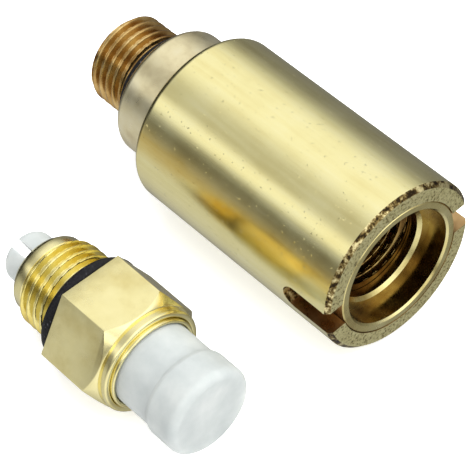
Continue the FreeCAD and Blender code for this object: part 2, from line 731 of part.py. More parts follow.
KINDS = ("PartDesign::Body", "Part::Feature")
pieces = [item for item in doc.Objects if item.TypeId in KINDS]
for item in doc.Objects:
    if "Invalid" in item.State or "Error" in item.State:
        raise RuntimeError("failed: %s %s" % (item.Name, item.State))
for piece in pieces:
    if piece.Shape.isNull() or not piece.Shape.isValid():
        raise RuntimeError("bad shape: " + piece.Label)
for piece in pieces:
    piece.Shape.exportStep("parts/%s.step" % piece.Label)
    print("%-16s volume %9.2f mm3, solids %d" % (piece.Label, piece.Shape.Volume, len(piece.Shape.Solids)))
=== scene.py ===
import math

import bmesh
import bpy
from mathutils import Matrix, Vector


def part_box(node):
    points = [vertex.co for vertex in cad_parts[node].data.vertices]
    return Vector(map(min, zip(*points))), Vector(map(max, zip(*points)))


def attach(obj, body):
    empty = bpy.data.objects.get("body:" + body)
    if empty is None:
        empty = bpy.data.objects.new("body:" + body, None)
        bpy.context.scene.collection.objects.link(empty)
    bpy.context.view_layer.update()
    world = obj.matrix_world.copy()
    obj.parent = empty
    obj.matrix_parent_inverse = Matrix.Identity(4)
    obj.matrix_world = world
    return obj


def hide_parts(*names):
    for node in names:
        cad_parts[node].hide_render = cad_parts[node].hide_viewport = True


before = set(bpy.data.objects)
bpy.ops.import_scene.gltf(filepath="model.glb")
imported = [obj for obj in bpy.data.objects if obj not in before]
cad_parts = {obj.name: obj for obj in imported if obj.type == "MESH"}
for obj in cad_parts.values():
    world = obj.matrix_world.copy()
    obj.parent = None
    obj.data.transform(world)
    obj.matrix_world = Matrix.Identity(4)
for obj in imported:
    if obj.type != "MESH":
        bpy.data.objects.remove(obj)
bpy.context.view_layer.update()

# Sizes in millimetres, read from the frame where it has them
MM = 0.001


def span(node):
    """A node's lowest and highest corners in millimetres."""
    low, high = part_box(node)
    return [value / MM for value in low], [value / MM for value in high]


barrel_low, barrel_high = span("barrel")
collar_low, collar_high = span("port_collar")
insert_low, insert_high = span("port_insert")
connector_low, connector_high = span("strut_connector")
sleeve_low, sleeve_high = span("guide_sleeve")
fitting_low, fitting_high = span("fitting_body")
clamp_low, clamp_high = span("clamping_ring")
plug_low, plug_high = span("transport_plug")

# Barrel and what sits in its bore
FLOOR = barrel_low[2]
BARREL_RADIUS = barrel_high[2]
BARREL_BORE = 7.5
OPEN_FACE = barrel_high[0]
SEAT_GAP = 0.05
INNER_RADIUS = BARREL_BORE - SEAT_GAP
RING_WIDTH = 1.4
RING_DEPTH = 0.95
CHAMBER_RADIUS = 5.9
SLOT_WIDTH = 3.0
SLOT_DEPTH = 6.2
SLOT_TURN = math.radians(4.5)
MOUTH_RADIUS = 6.5
MOUTH_DEPTH = 2.5
COLLAR_BORE = 5.2

# The thread that spigot, port and fitting share; its crest and flank are shares of half a pitch
THREAD_RADIUS = 5.0
THREAD_PITCH = 1.0
THREAD_DEPTH = 0.56
THREAD_CREST = 0.16
THREAD_FLANK = 0.62
THREAD_EASE = 0.35
PORT_CORE = 4.46

# Neck and spigot; the O-ring is drawn squeezed, a little fuller than in the solids
NECK_LENGTH = barrel_low[0]
NECK_RADIUS = 7.2
NECK_ROUND = 0.9
SPIGOT_TIP = connector_low[0]
SPIGOT_BORE = 1.75
UNDERCUT = 4.2
THREAD_END = -1.6
STRUT_CORD = 1.3
STRUT_RING_AT = -0.8
STRUT_BULGE = 0.15

# Fitting, clamp and plug
FITTING_Y = (fitting_low[1] + fitting_high[1]) / 2
FITTING_Z = (fitting_low[2] + fitting_high[2]) / 2
FITTING_AXIS = (FITTING_Y, FITTING_Z)
HEX_WIDTH = fitting_high[2] - fitting_low[2]
SHANK_LENGTH = 6.2
HEX_X = fitting_low[0] + SHANK_LENGTH
HEX_LENGTH = 7.3
FITTING_UNDERCUT = 4.3
FITTING_RELIEF = 1.6
FITTING_CORD = 1.5
FITTING_BULGE = 0.2
RIM_RADIUS = 5.8
RIM_FACE = fitting_high[0]
SOCKET_RADIUS = 5.15
SOCKET_DEPTH = 2.2
LINE_BORE = 3.05
CLAMP_TURN = math.radians(-60)
CLAMP_SLIT = 0.7
PRONG_TURN = math.radians(112)
PRONG_GAP = 1.0
PRONG_SPLIT = 9.0

# Steps round a turned piece, and round one with a thread
AROUND = 192
THREAD_AROUND = 160

# Looks
METAL = 1.0
NOT_METAL = 0.0
REFRACTION = 1.5
# Angle about X of the side where the barrel's colour holds a painted golden reflection of the fitting and floor
GOLD_REFLECTION_SIDE = math.radians(155)
FLOOR_GLOW = 0.5
FRONT_GAIN = 1.7
REAR_LEVEL = 0.08

# Brightness of the surround by the angle about the X axis, in degrees from +Y over the top to -Y
SKY = [
    (-180, 0.34), (-168, 0.62), (-145, 0.68), (-118, 0.66), (-92, 0.50), (-74, 0.28), (-42, 0.20), (0, 0.22),
    (12, 0.34), (28, 0.74), (42, 1.05), (84, 1.10), (97, 0.85), (108, 0.62), (128, 0.60), (136, 1.14),
    (148, 1.14), (154, 0.40), (162, 0.17), (172, 0.17), (180, 0.34),
]


# Outlines

def arc(centre, radius, start, end, steps):
    """Points of an arc in the (x, r) plane, angles in degrees from the x direction."""
    points = []
    for step in range(steps + 1):
        angle = math.radians(start + (end - start) * step / steps)
        points.append((centre[0] + radius * math.cos(angle), centre[1] + radius * math.sin(angle)))
    return points


def line(start, end, steps):
    """Evenly spaced points from start up to, but without, end."""
    points = []
    for step in range(steps):
        share = step / steps
        points.append((start[0] + (end[0] - start[0]) * share, start[1] + (end[1] - start[1]) * share))
    return points


def ring_groove(start):
    """Points of an O-ring's groove in a piece that sits in the barrel's bore."""
    end = start + RING_WIDTH
    floor = INNER_RADIUS - RING_DEPTH
    return [(start, INNER_RADIUS), (start, floor), (end, floor), (end, INNER_RADIUS)]


def threaded_wall(tip, end, steps):
    """Points of a male thread's wall from its chamfered tip up to, but without, its end."""
    chamfer = 0.6
    foot = (tip, THREAD_RADIUS - chamfer)
    shoulder = (tip + chamfer, THREAD_RADIUS)
    return line(foot, shoulder, 12) + line(shoulder, (end, THREAD_RADIUS), steps)


# Threads

def clamp_unit(value):
    """A value kept between 0 and 1."""
    return max(0.0, min(1.0, value))


def thread_cut(along, angle, from_end, fade):
    """Depth share of a right-handed thread: 0 on a crest, 1 in a root, and less near its end."""
    turn = along / THREAD_PITCH - angle / (2 * math.pi)
    from_crest = abs(2 * (turn - math.floor(turn)) - 1)
    flank = clamp_unit((from_crest - THREAD_CREST) / THREAD_FLANK)
    eased = flank * flank * (3 - 2 * flank) * THREAD_EASE + flank * (1 - THREAD_EASE)
    return eased * clamp_unit(from_end / fade)


def male_thread(end, run_out, fade, plain):
    """Relief of a male thread that fades towards its end; radii up to plain keep their size."""

    def relief(along, radius, angle):
        if radius <= plain or along >= end:
            return radius
        cut = thread_cut(along, angle, end + run_out - along, fade)
        return min(radius, THREAD_RADIUS - THREAD_DEPTH * cut)

    return relief


# Mesh making

def mesh_from(name, builder):
    """A mesh with its faces outwards, from a builder that isn't needed afterwards."""
    bmesh.ops.recalc_face_normals(builder, faces=builder.faces)
    mesh = bpy.data.meshes.new(name)
    builder.to_mesh(mesh)
    builder.free()
    return mesh


def add_object(name, mesh):
    """An object with a mesh, in the scene."""
    piece = bpy.data.objects.new(name, mesh)
    bpy.context.scene.collection.objects.link(piece)
    return piece


def shade(mesh, smooth_angle=35):
    """Smooth shading, with edges above an angle in degrees left sharp."""
    for polygon in mesh.polygons:
        polygon.use_smooth = True
    mesh.set_sharp_from_angle(angle=math.radians(smooth_angle))


def turned(name, outline, centre=(0.0, 0.0), around=AROUND, relief=None, smooth_angle=35):
    """A closed outline of (x, r) turned about an axis along X; relief(x, r, angle) may change a radius."""
    builder = bmesh.new()
    rings = []
    for along, radius in outline:
        if radius < 1e-6:
            rings.append([builder.verts.new((along * MM, centre[0] * MM, centre[1] * MM))])
            continue
        ring = []
        for step in range(around):
            angle = 2 * math.pi * step / around
            here = relief(along, radius, angle) if relief else radius
            place = (along, centre[0] + here * math.cos(angle), centre[1] + here * math.sin(angle))
            ring.append(builder.verts.new([value * MM for value in place]))
        rings.append(ring)
    for index in range(len(rings)):
        first = rings[index]
        second = rings[(index + 1) % len(rings)]
        if len(first) == 1 and len(second) == 1:
            continue
        for step in range(around):
            after = (step + 1) % around
            if len(first) == 1:
                builder.faces.new((first[0], second[after], second[step]))
            elif len(second) == 1:
                builder.faces.new((first[step], first[after], second[0]))
            else:
                builder.faces.new((first[step], first[after], second[after], second[step]))
    mesh = mesh_from(name, builder)
    shade(mesh, smooth_angle)
    return add_object(name, mesh)


def prism(name, near, far):
    """A mesh between two outlines with as many points each, given in millimetres."""
    builder = bmesh.new()
    first = []
    second = []
    for near_point, far_point in zip(near, far):
        first.append(builder.verts.new([value * MM for value in near_point]))
        second.append(builder.verts.new([value * MM for value in far_point]))
    builder.faces.new(first)
    builder.faces.new(second)
    for index in range(len(first)):
        after = (index + 1) % len(first)
        builder.faces.new((first[index], first[after], second[after], second[index]))
    return mesh_from(name, builder)


def box_tool(name, middle, angle, size, aside=0.0):
    """A box that cuts: turned about X at its middle, then moved aside along its own Z."""
    builder = bmesh.new()
    bmesh.ops.create_cube(builder, size=1.0)
    mesh = mesh_from(name, builder)
    place = Matrix.Translation(Vector(middle) * MM) @ Matrix.Rotation(angle, 4, "X")
    shift = Matrix.Translation(Vector((0.0, 0.0, aside)) * MM)
    mesh.transform(place @ shift @ Matrix.Diagonal((size[0] * MM, size[1] * MM, size[2] * MM, 1.0)))
    return add_object(name, mesh)


def apply_modifiers(piece):
    """Bakes a piece's modifiers into its mesh."""
    depsgraph = bpy.context.evaluated_depsgraph_get()
    mesh = bpy.data.meshes.new_from_object(piece.evaluated_get(depsgraph))
    piece.modifiers.clear()
    piece.data = mesh


def boolean(piece, tool, operation):
    """Applies a boolean of one object on another and removes the tool."""
    modifier = piece.modifiers.new(operation.lower(), "BOOLEAN")
    modifier.operation = operation
    modifier.solver = "EXACT"
    modifier.object = tool
    apply_modifiers(piece)
    bpy.data.objects.remove(tool)


def bevel(piece, width, segments):
    """Rounds a piece's sharp edges."""
    modifier = piece.modifiers.new("bevel", "BEVEL")
    modifier.width = width * MM
    modifier.segments = segments
    modifier.limit_method = "ANGLE"
    modifier.angle_limit = math.radians(30)
    modifier.harden_normals = False
    apply_modifiers(piece)


# Shader nodes

class Nodes:
    """Adds and joins the nodes of one tree, whose textures are placed by one kind of coordinates."""

    def __init__(self, tree, coordinates):
        self.tree = tree
        self.place = self.add("ShaderNodeTexCoord").outputs[coordinates]

    def add(self, kind, **settings):
        """A new node with its settings."""
        node = self.tree.nodes.new(kind)
        for key, value in settings.items():
            setattr(node, key, value)
        return node

    def join(self, output, target):
        """A link from an output to an input."""
        self.tree.links.new(output, target)

    def maths(self, operation, first, second=None):
        """A calculation with one or two values, each a number or an output."""
        node = self.add("ShaderNodeMath", operation=operation)
        for index, value in enumerate((first, second)):
            if value is None:
                continue
            if isinstance(value, (int, float)):
                node.inputs[index].default_value = value
            else:
                self.join(value, node.inputs[index])
        return node.outputs[0]

    def noise(self, scale, detail=3.0, roughness=0.55, place=None):
        """Noise in space."""
        node = self.add("ShaderNodeTexNoise")
        node.inputs["Scale"].default_value = scale
        node.inputs["Detail"].default_value = detail
        node.inputs["Roughness"].default_value = roughness
        self.join(place or self.place, node.inputs["Vector"])
        return node.outputs["Fac"]

    def line_noise(self, value, scale, detail=3.0):
        """Noise along one value, for lines."""
        node = self.add("ShaderNodeTexNoise", noise_dimensions="1D")
        node.inputs["Scale"].default_value = scale
        node.inputs["Detail"].default_value = detail
        self.join(value, node.inputs["W"])
        return node.outputs["Fac"]

    def stretched(self, factors):
        """The place, scaled by a factor along each axis."""
        node = self.add("ShaderNodeMapping")
        node.inputs["Scale"].default_value = factors
        self.join(self.place, node.inputs["Vector"])
        return node.outputs["Vector"]

    def ramp(self, factor, stops):
        """Colours between stops of (position, colour)."""
        node = self.add("ShaderNodeValToRGB")
        elements = node.color_ramp.elements
        while len(elements) < len(stops):
            elements.new(0.5)
        for element, (position, colour) in zip(elements, stops):
            element.position = position
            element.color = (*colour, 1.0)
        self.join(factor, node.inputs["Fac"])
        return node.outputs["Color"]

    def mix(self, factor, first, second):
        """A mix of two colours, whose sockets come after those for numbers and vectors."""
        factor_input = 0
        first_colour = 6
        second_colour = 7
        mixed_colour = 2
        node = self.add("ShaderNodeMix", data_type="RGBA")
        self.join(factor, node.inputs[factor_input])
        self.join(first, node.inputs[first_colour])
        self.join(second, node.inputs[second_colour])
        return node.outputs[mixed_colour]

    def spread(self, factor, low, high, from_low=0.3, from_high=0.7):
        """A value's range mapped to another one."""
        node = self.add("ShaderNodeMapRange")
        node.inputs["From Min"].default_value = from_low
        node.inputs["From Max"].default_value = from_high
        node.inputs["To Min"].default_value = low
        node.inputs["To Max"].default_value = high
        self.join(factor, node.inputs["Value"])
        return node.outputs["Result"]

    def bump(self, height, strength, distance, base=None):
        """A bump of some strength, on top of another one where base is given; distance in metres."""
        node = self.add("ShaderNodeBump")
        node.inputs["Strength"].default_value = strength
        node.inputs["Distance"].default_value = distance
        self.join(height, node.inputs["Height"])
        if base:
            self.join(base, node.inputs["Normal"])
        return node.outputs["Normal"]

    def split(self):
        """The place's X, Y and Z."""
        node = self.add("ShaderNodeSeparateXYZ")
        self.join(self.place, node.inputs["Vector"])
        return node.outputs

    def from_axis(self, axis=(0.0, 0.0)):
        """The place along an axis in the X direction, and the distance from that axis."""
        along, across, up = self.split()
        across = self.maths("SUBTRACT", across, axis[0] * MM)
        up = self.maths("SUBTRACT", up, axis[1] * MM)
        squares = self.maths("ADD", self.maths("MULTIPLY", across, across), self.maths("MULTIPLY", up, up))
        return along, self.maths("SQRT", squares)


class Surface(Nodes):
    """The nodes of a new material."""

    def __init__(self, name, metallic):
        self.material = bpy.data.materials.new(name)
        self.material.use_nodes = True
        super().__init__(self.material.node_tree, "Object")
        self.shader = self.tree.nodes["Principled BSDF"]
        self.fix("Metallic", metallic)
        self.fix("IOR", REFRACTION)

    def fix(self, socket, value):
        """Sets one of the shader's inputs."""
        self.shader.inputs[socket].default_value = value

    def feed(self, socket, output):
        """Joins an output to one of the shader's inputs."""
        self.join(output, self.shader.inputs[socket])


# Materials

def brass(name, colours, rough, turning, grain, axis=(0.0, 0.0)):
    """Brass with patches of colour, turning lines about an axis and a fine grain."""
    surface = Surface(name, METAL)
    dark, middle, light = colours
    patches = surface.noise(260, 4.0)
    surface.feed("Base Color", surface.ramp(patches, [(0.28, dark), (0.5, middle), (0.74, light)]))
    surface.feed("Roughness", surface.spread(surface.noise(900), *rough))
    along, radius = surface.from_axis(axis)
    lines = surface.line_noise(surface.maths("ADD", along, radius), 9000)
    first = surface.bump(lines, turning, 0.00002)
    surface.feed("Normal", surface.bump(surface.noise(5200, 2.0), grain, 0.00002, first))
    return surface.material


def barrel_brass():
    """Polished barrel: long soft streaks along its axis, clouding, a painted golden reflection of the nearby
    fitting and floor on the side towards -Y, and a few tiny pits.
    """
    clean_stops = [(0.3, (0.82, 0.72, 0.33)), (0.5, (0.90, 0.82, 0.42)), (0.72, (0.94, 0.88, 0.52))]
    # These stops paint a golden reflection of the nearby fitting and floor into the colour
    gold_reflection_stops = [(0.3, (0.62, 0.42, 0.10)), (0.5, (0.76, 0.57, 0.17)), (0.72, (0.84, 0.68, 0.27))]
    surface = Surface("barrel_brass", METAL)
    streaks = surface.noise(1, 4.0, 0.6, surface.stretched((60, 900, 900)))
    clouds = surface.noise(170, 4.0)
    mixed = surface.maths("ADD", surface.maths("MULTIPLY", streaks, 0.5),
                          surface.maths("MULTIPLY", clouds, 0.5))
    along, across, up = surface.split()
    around = surface.maths("ARCTAN2", up, across)
    # Share of the painted golden reflection: full at its side, fading out with ragged edges
    from_side = surface.maths("ABSOLUTE", surface.maths("SUBTRACT", around, GOLD_REFLECTION_SIDE))
    ragged = surface.maths("ADD", from_side, surface.maths("MULTIPLY", clouds, 0.16))
    gold_reflection_share = surface.spread(ragged, 0.95, 0.0, 0.12, 0.34)
    clean = surface.ramp(mixed, clean_stops)
    gold_reflection = surface.ramp(mixed, gold_reflection_stops)
    surface.feed("Base Color", surface.mix(gold_reflection_share, clean, gold_reflection))
    surface.feed("Roughness", surface.spread(mixed, 0.16, 0.27))
    fine = surface.noise(1, 3.0, 0.6, surface.stretched((500, 6000, 6000)))
    brushed = surface.bump(fine, 0.10, 0.00001)
    pits = surface.spread(surface.noise(2600, 1.0), 0.0, 1.0, 0.70, 0.78)
    surface.feed("Normal", surface.bump(pits, 0.7, 0.00003, brushed))
    return surface.material


def rough_face_brass():
    """Turned end face: deep lines round the axis and a coarse torn grain."""
    stops = [(0.36, (0.14, 0.10, 0.04)), (0.46, (0.70, 0.63, 0.31)), (0.66, (0.90, 0.85, 0.50))]
    surface = Surface("rough_face_brass", METAL)
    grain = surface.noise(3600, 5.0, 0.7)
    surface.feed("Base Color", surface.ramp(grain, stops))
    surface.feed("Roughness", surface.spread(grain, 0.55, 0.38))
    along, radius = surface.from_axis()
    first = surface.bump(surface.line_noise(radius, 7000), 0.6, 0.00004)
    surface.feed("Normal", surface.bump(grain, 0.8, 0.00006, first))
    return surface.material


def burr_and_dark_reflection_brass():
    """The barrel's open edge: bare brass with dark torn patches, made near black as a painted dark reflection
    along the bevel.
    """
    # The near-black stops are a painted dark reflection, laid over the edge's real burrs
    stops = [(0.42, (0.03, 0.02, 0.01)), (0.50, (0.22, 0.15, 0.05)), (0.60, (0.78, 0.68, 0.36))]
    surface = Surface("burr_and_dark_reflection_brass", METAL)
    patches = surface.noise(1500, 5.0, 0.7)
    surface.feed("Base Color", surface.ramp(patches, stops))
    surface.feed("Roughness", surface.spread(patches, 0.5, 0.3))
    surface.feed("Normal", surface.bump(patches, 0.8, 0.00005))
    return surface.material


def rubber():
    """Black rubber with a few pale specks."""
    stops = [(0.4, (0.004, 0.004, 0.005)), (0.66, (0.012, 0.012, 0.014)), (0.8, (0.16, 0.16, 0.19))]
    surface = Surface("black_rubber", NOT_METAL)
    specks = surface.noise(4200)
    surface.feed("Base Color", surface.ramp(specks, stops))
    surface.fix("Specular IOR Level", 0.22)
    surface.feed("Roughness", surface.spread(specks, 0.40, 0.6))
    surface.feed("Normal", surface.bump(specks, 0.25, 0.00003))
    return surface.material


def natural_plastic():
    """Translucent natural plastic with soft moulding marks."""
    stops = [(0.3, (0.36, 0.385, 0.385)), (0.55, (0.42, 0.445, 0.44)), (0.75, (0.48, 0.50, 0.49))]
    surface = Surface("natural_plastic", NOT_METAL)
    surface.feed("Base Color", surface.ramp(surface.noise(330, 4.0), stops))
    surface.fix("Subsurface Weight", 0.7)
    surface.fix("Subsurface Radius", (1.0, 1.0, 1.0))
    surface.fix("Subsurface Scale", 0.0022)
    surface.feed("Roughness", surface.spread(surface.noise(900), 0.34, 0.5))
    surface.feed("Normal", surface.bump(surface.noise(700), 0.18, 0.00008))
    return surface.material


def specked(name, metallic, dark, light, rough):
    """A plain surface with faint specks."""
    surface = Surface(name, metallic)
    specks = surface.noise(2500)
    surface.feed("Base Color", surface.ramp(specks, [(0.35, dark), (0.7, light)]))
    surface.feed("Roughness", surface.spread(specks, *rough))
    return surface.material


def studio_floor():
    """Pale matt floor that glows a little, so that it stays plain."""
    surface = Surface("studio_floor", NOT_METAL)
    surface.fix("Base Color", (0.90, 0.90, 0.90, 1.0))
    surface.fix("Roughness", 0.9)
    surface.fix("Specular IOR Level", 0.0)
    surface.fix("Emission Color", (1.0, 1.0, 1.0, 1.0))
    surface.fix("Emission Strength", FLOOR_GLOW)
    return surface.material


POLISHED = barrel_brass()
ROUGH_FACE = rough_face_brass()
BURR_AND_DARK_REFLECTION = burr_and_dark_reflection_brass()
SATIN = brass(
    "satin_brass", ((0.60, 0.50, 0.29), (0.84, 0.75, 0.48), (0.92, 0.86, 0.63)),
    rough=(0.26, 0.38), turning=0.25, grain=0.25,
)
TARNISHED = brass(
    "tarnished_brass", ((0.25, 0.12, 0.03), (0.54, 0.35, 0.13), (0.82, 0.64, 0.32)),
    rough=(0.17, 0.32), turning=0.1, grain=0.3,
)
TURNED = brass(
    "turned_brass", ((0.40, 0.30, 0.10), (0.66, 0.57, 0.25), (0.80, 0.73, 0.40)),
    rough=(0.20, 0.34), turning=0.25, grain=0.08,
)
# Brass darkened as painted shade, for the port's inner walls where little light reaches
SHADED_PORT = brass(
    "painted_shade_port_brass", ((0.10, 0.045, 0.010), (0.26, 0.16, 0.05), (0.48, 0.37, 0.14)),
    rough=(0.14, 0.28), turning=0.2, grain=0.1,
)
BROWN = brass(
    "brown_brass", ((0.20, 0.11, 0.04), (0.48, 0.31, 0.14), (0.66, 0.48, 0.25)),
    rough=(0.24, 0.38), turning=0.2, grain=0.1,
)
BRIGHT = brass(
    "bright_brass", ((0.78, 0.67, 0.30), (0.89, 0.80, 0.41), (0.94, 0.86, 0.48)),
    rough=(0.16, 0.28), turning=0.12, grain=0.08, axis=FITTING_AXIS,
)
GOLDEN = brass(
    "golden_brass", ((0.60, 0.42, 0.10), (0.86, 0.71, 0.22), (0.95, 0.86, 0.42)),
    rough=(0.14, 0.26), turning=0.12, grain=0.08, axis=FITTING_AXIS,
)
RUBBER = rubber()
PLASTIC = natural_plastic()
SLIDE = specked("slide_plastic", NOT_METAL, (0.62, 0.60, 0.54), (0.74, 0.72, 0.66), (0.4, 0.5))
STEEL = specked("spring_steel", METAL, (0.42, 0.42, 0.44), (0.62, 0.62, 0.64), (0.25, 0.4))


def finish(piece, body, slot, *materials):
    """Gives a piece its materials and body; its slot is not used."""
    for material in materials:
        piece.data.materials.append(material)
    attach(piece, body)


# Valve

def make_barrel():
    """Barrel with rounded rear edge, bevelled open edge and two round-ended slots."""
    rear_round = 1.0
    bevel_size = 0.45
    bevel_start = OPEN_FACE - bevel_size
    round_middle = (NECK_LENGTH + rear_round, BARREL_RADIUS - rear_round)
    outline = [(NECK_LENGTH, BARREL_BORE)] + arc(round_middle, rear_round, 180, 90, 10)
    outline += line((round_middle[0], BARREL_RADIUS), (bevel_start, BARREL_RADIUS), 10)[1:]
    outline += [(bevel_start, BARREL_RADIUS), (OPEN_FACE, BARREL_RADIUS - bevel_size),
                (OPEN_FACE, BARREL_BORE)]
    barrel = turned("barrel_shell", outline)
    beyond = 2.0
    slot_half = SLOT_WIDTH / 2
    corners = arc((OPEN_FACE - SLOT_DEPTH + slot_half, 0.0), slot_half, 90, 270, 24)
    corners += [(OPEN_FACE + beyond, -slot_half), (OPEN_FACE + beyond, slot_half)]
    near = [(x, -BARREL_RADIUS - beyond, z) for x, z in corners]
    far = [(x, BARREL_RADIUS + beyond, z) for x, z in corners]
    mesh = prism("slot_tool", near, far)
    mesh.transform(Matrix.Rotation(SLOT_TURN, 4, "X"))
    boolean(barrel, add_object("slot_tool", mesh), "DIFFERENCE")
    shade(barrel.data)
    flat = 0.99
    sloping = 0.5
    materials = [POLISHED, ROUGH_FACE, BROWN, BURR_AND_DARK_REFLECTION]
    finish(barrel, "valve_housing", "brass_polished", *materials)
    for polygon in barrel.data.polygons:
        radius = math.hypot(polygon.center.y, polygon.center.z) / MM
        material = POLISHED
        if polygon.normal.x > flat:
            material = ROUGH_FACE
        # The bevel round the open edge gets the burrs with their painted dark reflection
        elif polygon.normal.x > sloping and radius > BARREL_BORE:
            material = BURR_AND_DARK_REFLECTION
        elif radius < BARREL_RADIUS - bevel_size - 0.01 and abs(polygon.normal.x) < flat:
            material = BROWN
        polygon.material_index = materials.index(material)
    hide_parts("barrel")


def make_connector():
    """Neck and tail of the strut connector, and its threaded spigot as a piece of its own colour."""
    overlap = 0.02
    bore_chamfer = 0.25
    outline = [(SPIGOT_TIP, SPIGOT_BORE + bore_chamfer)] + threaded_wall(SPIGOT_TIP, THREAD_END, 140)
    outline += [(THREAD_END, UNDERCUT), (overlap, UNDERCUT), (overlap, SPIGOT_BORE)]
    outline += [(SPIGOT_TIP + bore_chamfer, SPIGOT_BORE)]
    relief = male_thread(THREAD_END, 0.2, 0.7, UNDERCUT)
    spigot = turned("spigot_thread", outline, around=THREAD_AROUND, relief=relief, smooth_angle=40)
    finish(spigot, "valve_housing", "brass_satin", TARNISHED)
    edge = 0.12
    edge_start = NECK_LENGTH - 0.25
    groove_start = NECK_LENGTH + 1.0
    tail_end = connector_high[0]
    outline = [(0.0, SPIGOT_BORE)] + arc((NECK_ROUND, NECK_RADIUS - NECK_ROUND), NECK_ROUND, 180, 90, 10)
    outline += line((NECK_ROUND, NECK_RADIUS), (edge_start, NECK_RADIUS), 6)[1:]
    outline += [(edge_start, NECK_RADIUS), (NECK_LENGTH - edge, NECK_RADIUS - edge)]
    outline += [(NECK_LENGTH, NECK_RADIUS - edge), (NECK_LENGTH + 0.3, INNER_RADIUS)] + ring_groove(groove_start)
    outline += [(tail_end, INNER_RADIUS), (tail_end, CHAMBER_RADIUS)]
    chamber_floor = 8.6
    crown = 9.4
    seat = 3.5
    seat_edge = 0.2
    well = seat - 2 * seat_edge
    well_floor = crown - 3.2
    outline += [(chamber_floor, CHAMBER_RADIUS), (chamber_floor, seat + 2 * seat_edge)]
    outline += [(crown - seat_edge, seat + seat_edge), (crown, seat), (crown - seat_edge, seat - seat_edge)]
    outline += [(crown - 2 * seat_edge, well), (well_floor, well),
                (well_floor - well + SPIGOT_BORE, SPIGOT_BORE)]
    neck = turned("connector_neck", outline)
    finish(neck, "valve_housing", "brass_satin", SATIN)
    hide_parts("strut_connector")
    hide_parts("strut_connector")


def make_port():
    """Collar with the counterbore, and the insert with the port's helical thread."""
    start = collar_low[0]
    face = collar_high[0]
    edge = 0.12
    mouth_edge = 0.2
    bore_edge = 0.35
    mouth_floor = face - MOUTH_DEPTH
    outline = [(start, COLLAR_BORE), (start, INNER_RADIUS), (face - edge, INNER_RADIUS),
               (face, INNER_RADIUS - edge)]
    outline += [(face, MOUTH_RADIUS + mouth_edge), (face - mouth_edge, MOUTH_RADIUS),
                (mouth_floor, MOUTH_RADIUS)]
    outline += [(mouth_floor, COLLAR_BORE + bore_edge), (mouth_floor - bore_edge, COLLAR_BORE)]
    collar = turned("mouth_collar", outline)
    materials = [TURNED, BROWN, SHADED_PORT]
    finish(collar, "valve_housing", "brass_turned", *materials)
    for polygon in collar.data.polygons:
        radius = math.hypot(polygon.center.y, polygon.center.z) / MM
        material = TURNED
        if abs(polygon.normal.x) <= 0.5:
            # The inner walls of the mouth and bore get painted shade
            material = BROWN if radius > INNER_RADIUS - 0.2 else SHADED_PORT
        polygon.material_index = materials.index(material)
    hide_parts("port_collar")
    bottom = 23.5
    bottom_radius = 4.2
    inlet_radius = 2.4
    inlet_start = 22.0
    groove_start = 26.8
    wall = THREAD_RADIUS + 0.1
    back = insert_low[0]
    end = insert_high[0]
    outline = [(back, CHAMBER_RADIUS), (back, INNER_RADIUS)] + ring_groove(groove_start)
    outline += [(end, INNER_RADIUS)] + line((end, wall), (bottom + 0.4, wall), 150)
    outline += [(bottom, bottom_radius), (bottom, inlet_radius)]
    outline += [(inlet_start, inlet_radius), (inlet_start, CHAMBER_RADIUS)]

    def relief(along, radius, angle):
        if radius != wall:
            return radius
        return PORT_CORE + (THREAD_DEPTH + 0.08) * thread_cut(along, angle, along - bottom, 0.6)

    insert = turned("port_thread", outline, around=THREAD_AROUND, relief=relief, smooth_angle=40)
    # The port's thread, deep in the bore, gets painted shade
    finish(insert, "valve_housing", "brass_turned", SHADED_PORT)
    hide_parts("port_insert")


def make_ring(name, node, body, cord, inner, x_middle, bulge, centre=(0.0, 0.0)):
    """An O-ring; bulge is how much wider than thick its section is, where it is squeezed outwards."""
    outline = []
    steps = 28
    across = (cord + bulge) / 2
    for step in range(steps):
        angle = 2 * math.pi * step / steps
        outline.append((x_middle + cord / 2 * math.cos(angle), inner + across + across * math.sin(angle)))
    ring = turned(name, outline, centre)
    finish(ring, body, "rubber_black", RUBBER)
    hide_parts(node)


# Fitting

